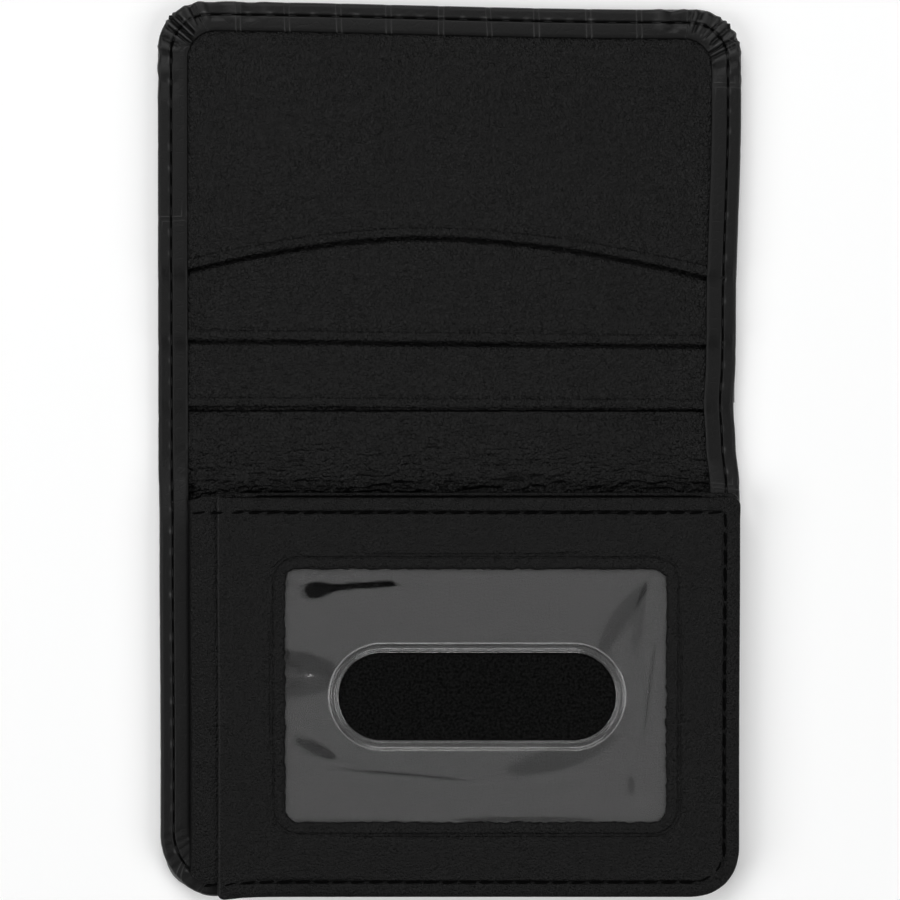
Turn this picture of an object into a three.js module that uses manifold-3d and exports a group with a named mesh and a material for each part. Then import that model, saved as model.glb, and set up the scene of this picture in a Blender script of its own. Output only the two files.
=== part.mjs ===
// Trifold wallet lying open and flat, with its card pockets and ID window facing up.
// Millimetres, +Z up, +X to the right, +Y towards the free end of the card half.
// The origin is the centre of the underside. The main fold runs along X at Y = 0.
//
// The leather shell is two halves that close on each other like a book. A third leaf with
// the ID window is sewn in under the left edge of the lower half, and turns over like a page.
import * as THREE from 'three';
import { mergeVertices } from 'three/addons/utils/BufferGeometryUtils.js';
import Module from 'manifold-3d';

const wasm = await Module();
wasm.setup();

// ---- Driving dimensions ----
const OPEN_WIDTH = 112;
const OPEN_LENGTH = 172;
const UPPER_CORNER = 8.5; // radius of the card half's free corners
const LOWER_CORNER = 7.7; // radius of the lower half's free corners
const EDGE_WIDTH = 5.7; // how far the outer leather is turned in over the lining
const SEAM_INSET = 2.7; // from the outer edge to the line of stitches
const THREAD_WIDTH = 0.34;
const FOLD_GAP = 0.15; // each half ends this far from the fold line
const SOFT_FOLD = 9; // the stiffening boards stop this far from the fold line

const OUTER_LEATHER = 1.0;
const BOARD = 0.3;
const LINING = 0.5;
const POCKET = 0.5;
const TURNED_EDGE = 0.8;
const THREAD = 0.12;
const LEAF_BACK = 0.6;
const LEAF_LINING = 0.3;
const VINYL = 0.3;
const LEAF_FRONT = 0.6;
const RIM_HEIGHT = 0.45;
const LAYER_GAP = 0.1; // between neighbouring layers
const SIDE_GAP = 0.15; // between a layer and the turned edge around it
const LEAF_CLEARANCE = 0.13; // between the edge stitches and the leaf that lies on them

// Mouths of the three card pockets, all facing the fold.
const REAR_LIP = 8.1;
const MIDDLE_LIP = 20.7;
const FRONT_LIP = { left: 34.7, crest: 41.1, crestX: -5.4, right: 33.4, flat: 22 };
const CARD_DEPTH = 52; // how deep a card goes in behind a lip
const HIDDEN_LIPS = { rear: -26, front: -40 }; // mouths of the two pockets under the leaf

const LEAF = { hingeX: -50.3, mouthX: -44.4, top: -9.5, backTop: -8.7, soft: 1.2 };
const WINDOW = { left: -31.9, right: 41.9, bottom: -71.9, top: -22.9, corner: 2.9 };
const VINYL_LAP = { side: 2.3, end: 2.4, corner: 4.2 }; // vinyl held behind the window's edge
const SLOT = { x: 5.25, y: -47.5, length: 53.5, width: 17, rim: 1.9 };

const HINGE_GAP = 0.2; // between the leaf's hinge axis and the leather on either side of it
const LINING_INSET = 1; // the leaf's lining stops this far inside its edges
const THREAD_END = 0.3; // the leaf's thread ends this far from the pocket mouth
const OVERCUT = 2; // how far a cutting solid runs past what it cuts

const CURVE_STEPS = 7;
const LIP_STEPS = 10;
const HALF_WIDTH = OPEN_WIDTH / 2;
const HALF_LENGTH = OPEN_LENGTH / 2;

// ---- Materials ----
const leather = (color, roughness) =>
  new THREE.MeshStandardMaterial({ color, roughness, metalness: 0 });
const materials = {
  croc: () => leather(0x1d1c1c, 0.42),
  lining: () => leather(0x1b1a1a, 0.6),
  leaf: () => leather(0x191818, 0.52),
  board: () => leather(0x2c2a28, 0.9),
  fabric: () => leather(0x0d0d0d, 0.95),
  thread: () => leather(0x0b0b0b, 0.7),
  vinyl: () => {
    const clear = leather(0x6a6a6c, 0.16);
    clear.transparent = true;
    clear.opacity = 0.45;
    return clear;
  },
};

// ---- Layers, from the table upwards ----
function layersFrom(bottom, thicknesses) {
  const levels = {};
  let z = bottom;
  for (const [name, thickness] of Object.entries(thicknesses)) {
    levels[name] = [z, z + thickness];
    z += thickness + LAYER_GAP;
  }
  return levels;
}

const upperZ = layersFrom(0, {
  outer: OUTER_LEATHER,
  board: BOARD,
  lining: LINING,
  rear: POCKET,
  middle: POCKET,
  front: POCKET,
  edge: TURNED_EDGE,
  thread: THREAD,
});
const lowerZ = layersFrom(0, {
  outer: OUTER_LEATHER,
  board: BOARD,
  lining: LINING,
  rear: POCKET,
  front: POCKET,
  anchor: POCKET,
  edge: TURNED_EDGE,
  thread: THREAD,
});
const leafZ = layersFrom(lowerZ.thread[1] + LEAF_CLEARANCE, {
  back: LEAF_BACK,
  lining: LEAF_LINING,
  vinyl: VINYL,
  front: LEAF_FRONT,
  thread: THREAD,
});

// ---- Outlines and solids ----
// A rectangle with a radius of its own at each corner: [bottom left, bottom right, top right, top left].
function roundedRectangle({ left, right, bottom, top }, radii = [0, 0, 0, 0]) {
  const corners = [
    [left, bottom, 1, 1, Math.PI],
    [right, bottom, -1, 1, -Math.PI / 2],
    [right, top, -1, -1, 0],
    [left, top, 1, -1, Math.PI / 2],
  ];
  const shape = new THREE.Shape();
  corners.forEach(([x, y, inX, inY, start], i) => {
    const r = radii[i];
    const first = i === 0;
    if (r > 0) {
      if (first) shape.moveTo(x, y + r);
      shape.absarc(x + inX * r, y + inY * r, r, start, start + Math.PI / 2, false);
    } else if (first) {
      shape.moveTo(x, y);
    } else {
      shape.lineTo(x, y);
    }
  });
  shape.closePath();
  return shape;
}

function stadium(centreX, centreY, length, width) {
  const r = width / 2;
  const reach = length / 2 - r;
  const shape = new THREE.Shape();
  shape.moveTo(centreX - reach, centreY - r);
  shape.lineTo(centreX + reach, centreY - r);
  shape.absarc(centreX + reach, centreY, r, -Math.PI / 2, Math.PI / 2, false);
  shape.lineTo(centreX - reach, centreY + r);
  shape.absarc(centreX - reach, centreY, r, Math.PI / 2, 1.5 * Math.PI, false);
  return shape;
}

function plate(shape, [bottom, top], curveSegments = CURVE_STEPS) {
  const options = { depth: top - bottom, bevelEnabled: false, curveSegments };
  return new THREE.ExtrudeGeometry(shape, options).translate(0, 0, bottom);
}

function solid(geometry) {
  const bare = geometry.clone();
  bare.deleteAttribute('normal');
  bare.deleteAttribute('uv');
  const merged = mergeVertices(bare, 1e-4);
  return new wasm.Manifold(
    new wasm.Mesh({
      numProp: 3,
      vertProperties: Float32Array.from(merged.attributes.position.array),
      triVerts: Uint32Array.from(merged.index.array),
    }),
  );
}

function geometryOf(body) {
  const { vertProperties, triVerts } = body.getMesh();
  const geometry = new THREE.BufferGeometry();
  geometry.setAttribute('position', new THREE.BufferAttribute(vertProperties, 3));
  geometry.setIndex(new THREE.BufferAttribute(triVerts, 1));
  geometry.computeVertexNormals();
  return geometry;
}

// The same rectangle moved in by a distance on the sides that are named.
function inset(rect, distance, sides = ['left', 'right', 'bottom', 'top']) {
  const inward = { left: distance, bottom: distance, right: -distance, top: -distance };
  const result = { ...rect };
  for (const side of sides) result[side] += inward[side];
  return result;
}

// ---- The two halves of the shell ----
const upper = {
  rect: { left: -HALF_WIDTH, right: HALF_WIDTH, bottom: FOLD_GAP, top: HALF_LENGTH },
  radii: (d) => [0, 0, UPPER_CORNER - d, UPPER_CORNER - d],
  free: ['left', 'right', 'top'],
  foldSide: 'bottom',
  z: upperZ,
};
const lower = {
  rect: { left: -HALF_WIDTH, right: HALF_WIDTH, bottom: -HALF_LENGTH, top: -FOLD_GAP },
  radii: (d) => [LOWER_CORNER - d, LOWER_CORNER - d, 0, 0],
  free: ['left', 'right', 'bottom'],
  foldSide: 'top',
  z: lowerZ,
};

// The half's outline moved in from its three free sides, with its corners kept concentric.
function halfShape(half, distance, beyondFold = 0) {
  const rect = inset(inset(half.rect, distance, half.free), -beyondFold, [half.foldSide]);
  return roundedRectangle(rect, half.radii(distance));
}

// The outer leather turned up round the edge and in over the lining: one side of it.
function turnedEdge(half, side) {
  const { outer, edge } = half.z;
  const wallBottom = outer[1] + LAYER_GAP;
  const through = [wallBottom - OVERCUT, edge[1] + OVERCUT];
  const opening = inset(half.rect, EDGE_WIDTH, half.free);
  const flange = solid(plate(halfShape(half, 0), edge)).subtract(
    solid(plate(roundedRectangle(inset(opening, -OVERCUT, [half.foldSide])), through)),
  );
  const wall = solid(plate(halfShape(half, 0), [wallBottom, edge[1]])).subtract(
    solid(plate(halfShape(half, TURNED_EDGE, OVERCUT), through)),
  );
  const endSide = half.free[2];
  const away = endSide === 'top' ? 1 : -1;
  const region = inset(half.rect, -OVERCUT);
  if (side === 'end') {
    region[half.foldSide] = opening[endSide];
  } else {
    region[endSide] = opening[endSide] - away * SIDE_GAP;
    region[side === 'left' ? 'right' : 'left'] = 0;
  }
  return geometryOf(
    flange.add(wall).intersect(solid(plate(roundedRectangle(region), through))),
  );
}

// A thread that follows the free edges at the seam's distance from them.
function edgeThread(half) {
  const [bottom, top] = half.z.thread;
  const outside = SEAM_INSET - THREAD_WIDTH / 2;
  const inside = SEAM_INSET + THREAD_WIDTH / 2;
  return geometryOf(
    solid(plate(halfShape(half, outside), [bottom, top])).subtract(
      solid(plate(halfShape(half, inside, OVERCUT), [bottom - OVERCUT, top + OVERCUT])),
    ),
  );
}

function liningShape(half) {
  return halfShape(half, TURNED_EDGE + SIDE_GAP);
}

function boardShape(half) {
  const away = SOFT_FOLD - FOLD_GAP;
  return halfShape(half, TURNED_EDGE + SIDE_GAP, -away);
}

// ---- Pockets ----
const POCKET_SIDE = HALF_WIDTH - TURNED_EDGE - SIDE_GAP;

function straightPocket(lip, deepEnd) {
  const [bottom, top] = [Math.min(lip, deepEnd), Math.max(lip, deepEnd)];
  return roundedRectangle({ left: -POCKET_SIDE, right: POCKET_SIDE, bottom, top });
}

// The front card pocket: its lip is a shallow arch, higher in the middle for the thumb.
function archedPocket() {
  const top = HALF_LENGTH - TURNED_EDGE - SIDE_GAP;
  const corner = UPPER_CORNER - TURNED_EDGE - SIDE_GAP;
  const { left, crest, crestX, right, flat } = FRONT_LIP;
  const shape = new THREE.Shape();
  shape.moveTo(-POCKET_SIDE, left);
  shape.quadraticCurveTo(crestX - flat, crest, crestX, crest);
  shape.quadraticCurveTo(crestX + flat, crest, POCKET_SIDE, right);
  shape.absarc(POCKET_SIDE - corner, top - corner, corner, 0, Math.PI / 2, false);
  shape.absarc(-POCKET_SIDE + corner, top - corner, corner, Math.PI / 2, Math.PI, false);
  shape.closePath();
  return shape;
}

// ---- The leaf with the ID window ----
const leafRect = {
  left: LEAF.mouthX,
  right: HALF_WIDTH,
  bottom: -HALF_LENGTH,
  top: LEAF.top,
};
const leafRadii = (d) => [LEAF.soft, LOWER_CORNER - d, LEAF.soft, LEAF.soft];

function leafFrame() {
  const window = roundedRectangle(WINDOW, Array(4).fill(WINDOW.corner));
  const shape = roundedRectangle(leafRect, leafRadii(0));
  shape.holes.push(window);
  return plate(shape, leafZ.front);
}

function idWindow() {
  const rect = {
    left: WINDOW.left - VINYL_LAP.side,
    right: WINDOW.right + VINYL_LAP.side,
    bottom: WINDOW.bottom - VINYL_LAP.end,
    top: WINDOW.top + VINYL_LAP.end,
  };
  const shape = roundedRectangle(rect, Array(4).fill(VINYL_LAP.corner));
  shape.holes.push(stadium(SLOT.x, SLOT.y, SLOT.length, SLOT.width));
  return plate(shape, leafZ.vinyl);
}

function thumbSlotRim() {
  const outer = stadium(SLOT.x, SLOT.y, SLOT.length + 2 * SLOT.rim, SLOT.width + 2 * SLOT.rim);
  outer.holes.push(stadium(SLOT.x, SLOT.y, SLOT.length, SLOT.width));
  const bottom = leafZ.vinyl[1] + LAYER_GAP / 2;
  return plate(outer, [bottom, bottom + RIM_HEIGHT]);
}

function leafThread() {
  const [bottom, top] = leafZ.thread;
  const sides = ['right', 'bottom', 'top'];
  const ring = (distance, past) => {
    const rect = inset(inset(leafRect, distance, sides), -past, ['left']);
    const corner = LOWER_CORNER - distance;
    return roundedRectangle(rect, [0, corner, 0, 0]);
  };
  const outside = solid(plate(ring(SEAM_INSET - THREAD_WIDTH / 2, -THREAD_END), [bottom, top]));
  const cut = [bottom - OVERCUT, top + OVERCUT];
  const inside = solid(plate(ring(SEAM_INSET + THREAD_WIDTH / 2, OVERCUT), cut));
  return geometryOf(outside.subtract(inside));
}

const backRect = { ...leafRect, top: LEAF.backTop };
const hingeStripRect = {
  left: LEAF.hingeX + HINGE_GAP,
  right: LEAF.mouthX - SIDE_GAP,
  bottom: -HALF_LENGTH + SEAM_INSET,
  top: LEAF.top,
};
const anchorRect = {
  left: -POCKET_SIDE,
  right: LEAF.hingeX - HINGE_GAP,
  bottom: -HALF_LENGTH + LOWER_CORNER,
  top: LEAF.top,
};

// ---- Assembly ----
const wallet = new THREE.Group();

function add(name, geometry, material) {
  const mesh = new THREE.Mesh(geometry, materials[material]());
  mesh.name = name;
  wallet.add(mesh);
}

for (const [name, half] of [['upper', upper], ['lower', lower]]) {
  add(`${name}_outer_leather`, plate(halfShape(half, 0), half.z.outer), 'croc');
  add(`${name}_board`, plate(boardShape(half), half.z.board), 'board');
  add(`${name}_lining`, plate(liningShape(half), half.z.lining), 'lining');
  add(`${name}_edge_left`, turnedEdge(half, 'left'), 'croc');
  add(`${name}_edge_right`, turnedEdge(half, 'right'), 'croc');
  add(`${name}_edge_end`, turnedEdge(half, 'end'), 'croc');
  add(`${name}_edge_stitching`, edgeThread(half), 'thread');
}

const rearCards = straightPocket(REAR_LIP, REAR_LIP + CARD_DEPTH);
const middleCards = straightPocket(MIDDLE_LIP, MIDDLE_LIP + CARD_DEPTH);
add('card_pocket_rear', plate(rearCards, upperZ.rear), 'lining');
add('card_pocket_middle', plate(middleCards, upperZ.middle), 'lining');
add('card_pocket_front', plate(archedPocket(), upperZ.front, LIP_STEPS), 'lining');

const hiddenEnd = -HALF_LENGTH + LOWER_CORNER;
const hiddenRear = straightPocket(HIDDEN_LIPS.rear, hiddenEnd);
const hiddenFront = straightPocket(HIDDEN_LIPS.front, hiddenEnd);
add('hidden_pocket_rear', plate(hiddenRear, lowerZ.rear), 'lining');
add('hidden_pocket_front', plate(hiddenFront, lowerZ.front), 'lining');
add('leaf_anchor_strip', plate(roundedRectangle(anchorRect), lowerZ.anchor), 'leaf');

const stripTop = leafZ.lining[1];
add('leaf_hinge_strip', plate(roundedRectangle(hingeStripRect), [leafZ.back[0], stripTop]), 'leaf');
add('leaf_back_panel', plate(roundedRectangle(backRect, leafRadii(0)), leafZ.back), 'leaf');
const innerRect = inset(leafRect, LINING_INSET, ['right', 'bottom', 'top']);
const innerShape = roundedRectangle(innerRect, leafRadii(LINING_INSET));
add('leaf_inner_lining', plate(innerShape, leafZ.lining), 'fabric');
add('id_window', idWindow(), 'vinyl');
add('thumb_slot_rim', thumbSlotRim(), 'vinyl');
add('leaf_front_frame', leafFrame(), 'leaf');
add('leaf_stitching', leafThread(), 'thread');

export default wallet;
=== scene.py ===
"""Looks of the trifold wallet: leather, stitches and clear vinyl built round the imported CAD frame.

Every length below is in millimetres until it reaches a mesh, where MM turns it into metres.
X runs across the wallet, Y towards the free end of the card half, Z up. The fold is at Y = 0.
"""

import math

import bmesh
import bpy
import numpy as np
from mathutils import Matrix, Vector


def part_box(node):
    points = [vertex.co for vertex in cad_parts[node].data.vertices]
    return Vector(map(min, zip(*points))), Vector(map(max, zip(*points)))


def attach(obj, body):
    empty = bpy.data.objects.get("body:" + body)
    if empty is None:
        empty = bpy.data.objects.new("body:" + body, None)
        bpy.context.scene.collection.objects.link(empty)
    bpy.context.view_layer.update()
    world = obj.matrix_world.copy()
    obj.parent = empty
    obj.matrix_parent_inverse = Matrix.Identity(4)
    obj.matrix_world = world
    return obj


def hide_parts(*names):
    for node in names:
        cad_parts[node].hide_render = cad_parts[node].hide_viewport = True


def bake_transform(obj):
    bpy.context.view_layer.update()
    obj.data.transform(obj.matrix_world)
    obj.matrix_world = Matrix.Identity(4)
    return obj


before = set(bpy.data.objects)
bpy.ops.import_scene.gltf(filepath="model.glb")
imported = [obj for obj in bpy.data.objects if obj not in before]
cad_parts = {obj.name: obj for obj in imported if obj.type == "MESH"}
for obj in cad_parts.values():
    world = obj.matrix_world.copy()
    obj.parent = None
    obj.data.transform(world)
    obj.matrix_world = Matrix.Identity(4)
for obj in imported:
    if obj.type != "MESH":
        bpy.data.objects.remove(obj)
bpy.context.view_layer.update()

MM = 0.001


# -------- the frame's sizes
def box_mm(node):
    return [[float(place) / MM for place in corner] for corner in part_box(node)]


def grow(box, by):
    """A rectangle (left, right, bottom, top) made larger on each side, or smaller."""
    left, right, bottom, top = box
    return left - by, right + by, bottom - by, top + by


upper_low, upper_high = box_mm("upper_outer_leather")
LEFT, RIGHT = upper_low[0], upper_high[0]
BOTTOM, TOP = box_mm("lower_outer_leather")[0][1], upper_high[1]
WALLET_BOX = (LEFT, RIGHT, BOTTOM, TOP)
LINING_Z = box_mm("upper_lining")[1][2]
rear_low, rear_high = box_mm("card_pocket_rear")
REAR_LIP_Y, REAR_Z = rear_low[1], rear_high[2]
middle_low, middle_high = box_mm("card_pocket_middle")
MIDDLE_LIP_Y, MIDDLE_Z = middle_low[1], middle_high[2]
FRONT_Z = box_mm("card_pocket_front")[1][2]
FRONT_CREST = (-5.4, 41.1)  # highest point of the front pocket's arched lip
FRONT_SIDE_Y = 34.0  # where that lip meets the border

LEAF_MOUTH = box_mm("leaf_front_frame")[0][0]
_, LEAF_TOP, LEAF_FRONT_Z = box_mm("leaf_front_frame")[1]
_, BACK_TOP, LEAF_BACK_Z = box_mm("leaf_back_panel")[1]
LEAF_RIGHT = RIGHT - 0.55
LEAF_BOTTOM = BOTTOM
LEAF_BOX = (LEAF_MOUTH, LEAF_RIGHT, LEAF_BOTTOM, LEAF_TOP)
LEAF_THICK = 0.6
LEAF_CORNER = 9.0
STRIP_TOP = box_mm("leaf_hinge_strip")[1][2] + 0.42
vinyl_low, vinyl_high = box_mm("id_window")
VINYL_Z = vinyl_high[2]
VINYL_BOX = (vinyl_low[0], vinyl_high[0], vinyl_low[1], vinyl_high[1])
WINDOW = grow(VINYL_BOX, -2.35)
WINDOW_CORNER = 2.9
slot_low, slot_high = box_mm("thumb_slot_rim")
SLOT_X, SLOT_Y = (slot_low[0] + slot_high[0]) / 2, (slot_low[1] + slot_high[1]) / 2
SLOT_LONG, SLOT_WIDE = 53.5, 17.0
SLOT_BOX = (SLOT_X - SLOT_LONG / 2, SLOT_X + SLOT_LONG / 2, SLOT_Y - SLOT_WIDE / 2, SLOT_Y + SLOT_WIDE / 2)
SLOT_CORNER = SLOT_WIDE / 2 - 0.01  # as round as its ends can be
RIM_WIDTH = 1.9

EDGE_WIDTH = 5.7  # of the border that is turned in over the lining
SEAM = 2.7  # from the outer edge to the stitches
BORDER_PITCH = 4.1
LEAF_PITCH = 3.5


# -------- noise and small maths
NOISE_TABLE = 97


def smooth(t):
    """An S-shaped step from 0 at t = 0 to 1 at t = 1."""
    t = np.clip(t, 0, 1)
    return t * t * (3 - 2 * t)


def bump(x, centre, half_width):
    """A soft bell, 1 at centre and about 0 past twice the half width."""
    return np.exp(-(((x - centre) / half_width) ** 2))


def noise(x, y, cell, seed):
    """Smooth noise from -1 to 1 with features of about one cell."""
    table = np.random.default_rng(seed).uniform(-1, 1, (NOISE_TABLE, NOISE_TABLE))
    u, v = np.asarray(x, float) / cell, np.asarray(y, float) / cell
    i, j = np.floor(u).astype(int), np.floor(v).astype(int)
    a, b = smooth(u - i), smooth(v - j)

    def at(di, dj):
        return table[(i + di) % NOISE_TABLE, (j + dj) % NOISE_TABLE]

    return (at(0, 0) * (1 - a) + at(1, 0) * a) * (1 - b) + (at(0, 1) * (1 - a) + at(1, 1) * a) * b


def layered_noise(x, y, cell, seed, octaves=3):
    """Noise with finer and fainter layers, each half the size of the last."""
    total, size = 0, 1.0
    for k in range(octaves):
        total = total + noise(x, y, cell / 2**k, seed + k) * size
        size *= 0.5
    return total / 1.75


def box_distance(x, y, box, radius):
    """Signed distance to a rounded rectangle (left, right, bottom, top): negative inside."""
    left, right, bottom, top = box
    qx = np.abs(x - (left + right) / 2) - ((right - left) / 2 - radius)
    qy = np.abs(y - (bottom + top) / 2) - ((top - bottom) / 2 - radius)
    outside = np.hypot(np.maximum(qx, 0), np.maximum(qy, 0))
    return outside + np.minimum(np.maximum(qx, qy), 0) - radius


# -------- the wallet's own shape
STEP_WIDTH = 3.2  # over which the border climbs a pocket's lip
BORDER_RISE = 0.62  # of the turned border over the layers under it


def border_height(y):
    """Top of the turned border, which steps down at each pocket's lip and in the fold."""
    base = LINING_Z + 0.3
    z = np.full(np.shape(y), base)
    below = base
    for above, lip in ((REAR_Z, REAR_LIP_Y), (MIDDLE_Z, MIDDLE_LIP_Y), (FRONT_Z, FRONT_SIDE_Y)):
        z = z + (above - below) * smooth((y - lip + STEP_WIDTH / 2) / STEP_WIDTH)
        below = above
    return z + (FRONT_Z - base) * smooth((-y - 1.0) / 15.0) + BORDER_RISE


def warp(points):
    """The small unevenness of a used, hand-turned wallet: a waist at the fold and a sloping end."""
    x, y = points[..., 0].copy(), points[..., 1].copy()
    right = 0.25 - 0.98 * smooth((66 - y) / 40) - 0.45 * bump(y, 9, 5)
    right = right + 0.7 * smooth((1 - y) / 8) - 0.2 * smooth((-20 - y) / 40)
    left = -0.42 + 0.30 * smooth((-y - 2) / 12) + 0.2 * smooth((-20 - y) / 40)
    far = 0.42 - 1.58 * smooth((x + 52) / 92)
    near = 0.3 - 0.75 * bump(x, LEFT + 8, 7)
    out = points.copy()
    out[..., 0] = x + left * smooth((-22 - x) / 24) + right * smooth((x - 22) / 24)
    out[..., 1] = y + near * smooth((-62 - y) / 20) + far * smooth((y - 56) / 22)
    return out


# -------- mesh building
def make(name, verts, faces, material, **attributes):
    """A smooth mesh from millimetres, with three numbers per vertex for each attribute."""
    mesh = bpy.data.meshes.new(name)
    mesh.from_pydata((np.asarray(verts) * MM).tolist(), [], faces)
    mesh.validate()
    mesh.polygons.foreach_set("use_smooth", np.ones(len(mesh.polygons), bool))
    for key, value in attributes.items():
        layer = mesh.attributes.new(key, "FLOAT_VECTOR", "POINT")
        layer.data.foreach_set("vector", np.asarray(value, np.float32).ravel())
    mesh.materials.append(material)
    mesh.update()
    obj = bpy.data.objects.new(name, mesh)
    bpy.context.scene.collection.objects.link(obj)
    return obj


def face_outwards(obj):
    work = bmesh.new()
    work.from_mesh(obj.data)
    bmesh.ops.recalc_face_normals(work, faces=work.faces)
    work.to_mesh(obj.data)
    work.free()
    return obj


def grid_faces(rows, columns, closed=False, first=0):
    """Quads of a rows x columns grid of vertices, counter-clockwise seen from above."""
    across = columns if closed else columns - 1
    r, c = np.meshgrid(np.arange(rows - 1), np.arange(across), indexing="ij")
    a = first + r * columns + c
    b = first + r * columns + (c + 1) % columns
    return np.stack([a, b, b + columns, a + columns], -1).reshape(-1, 4)


def unit(vectors):
    return vectors / np.maximum(np.linalg.norm(vectors, axis=1, keepdims=True), 1e-12)


def vertex_normals(verts, quads):
    a, b, c, d = (verts[quads[:, i]] for i in range(4))
    n = np.cross(c - a, d - b)
    out = np.zeros_like(verts)
    for i in range(4):
        np.add.at(out, quads[:, i], n)
    return unit(out)


def thicken(verts, quads, thickness, steps=3):
    """A closed sheet with a rounded rim: the given surface is its upper side.
    Also says which vertex of that surface each new vertex comes from."""
    normals = vertex_normals(verts, quads)
    edges = np.concatenate([quads[:, [i, (i + 1) % 4]] for i in range(4)])
    key = np.sort(edges, axis=1)
    _, index, count = np.unique(key, axis=0, return_index=True, return_counts=True)
    rim = edges[index[count == 1]]
    along = verts[rim[:, 1]] - verts[rim[:, 0]]
    away = unit(np.cross(along, normals[rim[:, 0]] + normals[rim[:, 1]]))
    outward = np.zeros_like(verts)
    np.add.at(outward, rim[:, 0], away)
    np.add.at(outward, rim[:, 1], away)
    on_rim = np.unique(rim)
    place = np.full(len(verts), -1)
    place[on_rim] = np.arange(len(on_rim))
    push = unit(outward[on_rim])
    n, edge = normals[on_rim], verts[on_rim]
    count_all = len(verts)
    loops = []
    parts = [verts, verts - normals * thickness]
    half = thickness / 2
    for k in range(1, steps + 1):
        turn = math.pi * k / (steps + 1)
        parts.append(edge - n * half + n * math.cos(turn) * half + push * math.sin(turn) * half)
        loops.append(2 * count_all + (k - 1) * len(on_rim))
    faces = quads.tolist() + (quads[:, ::-1] + count_all).tolist()
    rings = [rim] + [place[rim] + start for start in loops] + [rim + count_all]
    for upper, lower in zip(rings, rings[1:]):
        faces += np.stack([upper[:, 1], upper[:, 0], lower[:, 0], lower[:, 1]], -1).tolist()
    source = np.concatenate([np.arange(count_all), np.arange(count_all), *[on_rim] * steps])
    return np.concatenate(parts), faces, source


def raised(plan, z):
    return np.concatenate([plan, z[..., None]], -1)


def sheet_piece(name, grid, thickness, material, closed=False):
    """A leather or fabric sheet whose upper side is the grid."""
    rows, columns = grid.shape[:2]
    verts, faces, _ = thicken(grid.reshape(-1, 3), grid_faces(rows, columns, closed), thickness)
    return face_outwards(make(name, verts, faces, material, rest=verts))


def film_piece(name, grid, thickness, milkiness):
    """A closed band of clear vinyl. Milkiness has one number for each point of the grid."""
    rows, columns = grid.shape[:2]
    verts, faces, source = thicken(grid.reshape(-1, 3), grid_faces(rows, columns, True), thickness, 2)
    haze = np.repeat(milkiness.reshape(-1)[source][:, None], 3, 1)
    return face_outwards(make(name, verts, faces, vinyl, rest=verts, haze=haze))


def rounded_loop(box, radii, corner_steps, steps_x, steps_y):
    """Points round a rectangle, counter-clockwise from the middle of the bottom left corner.
    Each corner has corner_steps and each straight side its own count, so that two loops match."""
    left, right, bottom, top = box
    corners = [
        (left, bottom, 1, 1, 180),
        (right, bottom, -1, 1, 270),
        (right, top, -1, -1, 0),
        (left, top, 1, -1, 90),
    ]
    points = []
    for k, (x, y, sx, sy, start) in enumerate(corners):
        r = radii[k]
        angles = np.radians(start + 90 * np.arange(corner_steps + 1) / corner_steps)
        arc = np.stack([x + sx * r + r * np.cos(angles), y + sy * r + r * np.sin(angles)], 1)
        x2, y2, sx2, sy2, start2 = corners[(k + 1) % 4]
        r2 = radii[(k + 1) % 4]
        first = np.radians(start2)
        target = np.array([x2 + sx2 * r2 + r2 * math.cos(first), y2 + sy2 * r2 + r2 * math.sin(first)])
        count = steps_x if k % 2 == 0 else steps_y
        t = np.arange(1, count)[:, None] / count
        points += [arc, arc[-1] + (target - arc[-1]) * t]
    loop = np.concatenate(points)
    return np.roll(loop, -(corner_steps // 2), axis=0)


def coons(loop, nx, ny):
    """A grid that fills a closed loop of 2 * (nx + ny) points, starting at its bottom left."""
    south = loop[: nx + 1]
    east = loop[nx : nx + ny + 1]
    north = loop[nx + ny : 2 * nx + ny + 1][::-1]
    west = np.concatenate([loop[2 * nx + ny :], loop[:1]])[::-1]
    u, v = np.linspace(0, 1, nx + 1)[None, :, None], np.linspace(0, 1, ny + 1)[:, None, None]
    ruled = south[None] * (1 - v) + north[None] * v + west[:, None] * (1 - u) + east[:, None] * u
    corners = (
        south[0] * (1 - u) * (1 - v) + south[-1] * u * (1 - v) + north[0] * (1 - u) * v + north[-1] * u * v
    )
    return ruled - corners


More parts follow.
